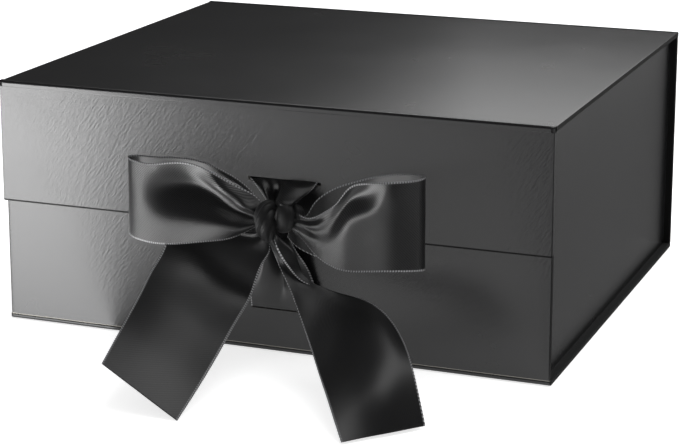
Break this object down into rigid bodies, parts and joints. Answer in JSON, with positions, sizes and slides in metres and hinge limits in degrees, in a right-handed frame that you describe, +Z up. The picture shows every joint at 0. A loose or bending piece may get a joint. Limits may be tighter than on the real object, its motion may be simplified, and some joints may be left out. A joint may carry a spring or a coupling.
{
  "type": "ribbon-tied gift box with hinged lid",
  "caption": "Rigid black paper gift box with a lid hinged at the back, a magnetic front flap and a satin ribbon tied in a bow over the flap.",
  "frame": {"origin": "on the underside of the base, under the middle of the case", "axes": "+Z up, the flap and bow face -Y, +X to the right seen from the front"},
  "size_m": [0.26, 0.3221, 0.113],
  "materials": {
    "grey_board": "matt grey board",
    "black_wrap": "coated black paper with a soft gloss",
    "liner_paper": "matt black paper",
    "corner_tape": "matt black gummed paper tape",
    "keeper_steel": "plain pressed steel",
    "magnet_nickel": "nickel plated",
    "satin_ribbon": "black satin weave with a corded edge"
  },
  "bodies": {
    "box": {"base_board": "grey_board", "base_wrap": "black_wrap", "base_liner": "liner_paper", "front_wall_board": "grey_board", "front_wall_wrap": "black_wrap", "front_wall_liner": "liner_paper", "keepers": "keeper_steel", "spine_board": "grey_board", "spine_wrap": "black_wrap", "spine_liner": "liner_paper", "left_wall_board": "grey_board", "left_wall_wrap": "black_wrap", "right_wall_board": "grey_board", "right_wall_wrap": "black_wrap", "corner_tapes": "corner_tape", "lower_anchor": "satin_ribbon"},
    "lid": {"lid_board": "grey_board", "lid_wrap": "black_wrap", "lid_liner": "liner_paper", "lid_hinge_paper": "black_wrap", "flap_hinge_paper": "black_wrap"},
    "flap": {"flap_board": "grey_board", "flap_wrap": "black_wrap", "flap_liner": "liner_paper", "magnets": "magnet_nickel", "upper_strap": "satin_ribbon", "knot": "satin_ribbon", "left_loop": "satin_ribbon", "right_loop": "satin_ribbon", "left_tail": "satin_ribbon", "right_tail": "satin_ribbon"},
    "lower_ribbon": {"lower_strap": "satin_ribbon"}
  },
  "joints": [
    {"name": "lid_hinge", "type": "hinge", "parent": "box", "child": "lid", "pos_m": [0, 0.115, 0.113], "axis": [-1, 0, 0], "range_deg": [0, 180]},
    {"name": "flap_hinge", "type": "hinge", "parent": "lid", "child": "flap", "pos_m": [0, -0.115, 0.113], "axis": [-1, 0, 0], "range_deg": [0, 90]},
    {"name": "ribbon_fold", "type": "hinge", "parent": "box", "child": "lower_ribbon", "pos_m": [0.0095, -0.1125, 0.02], "axis": [1, 0, 0], "range_deg": [0, 90]}
  ],
  "couplings": [
    {"joint": "ribbon_fold", "follows": "flap_hinge", "ratio": 1}
  ]
}
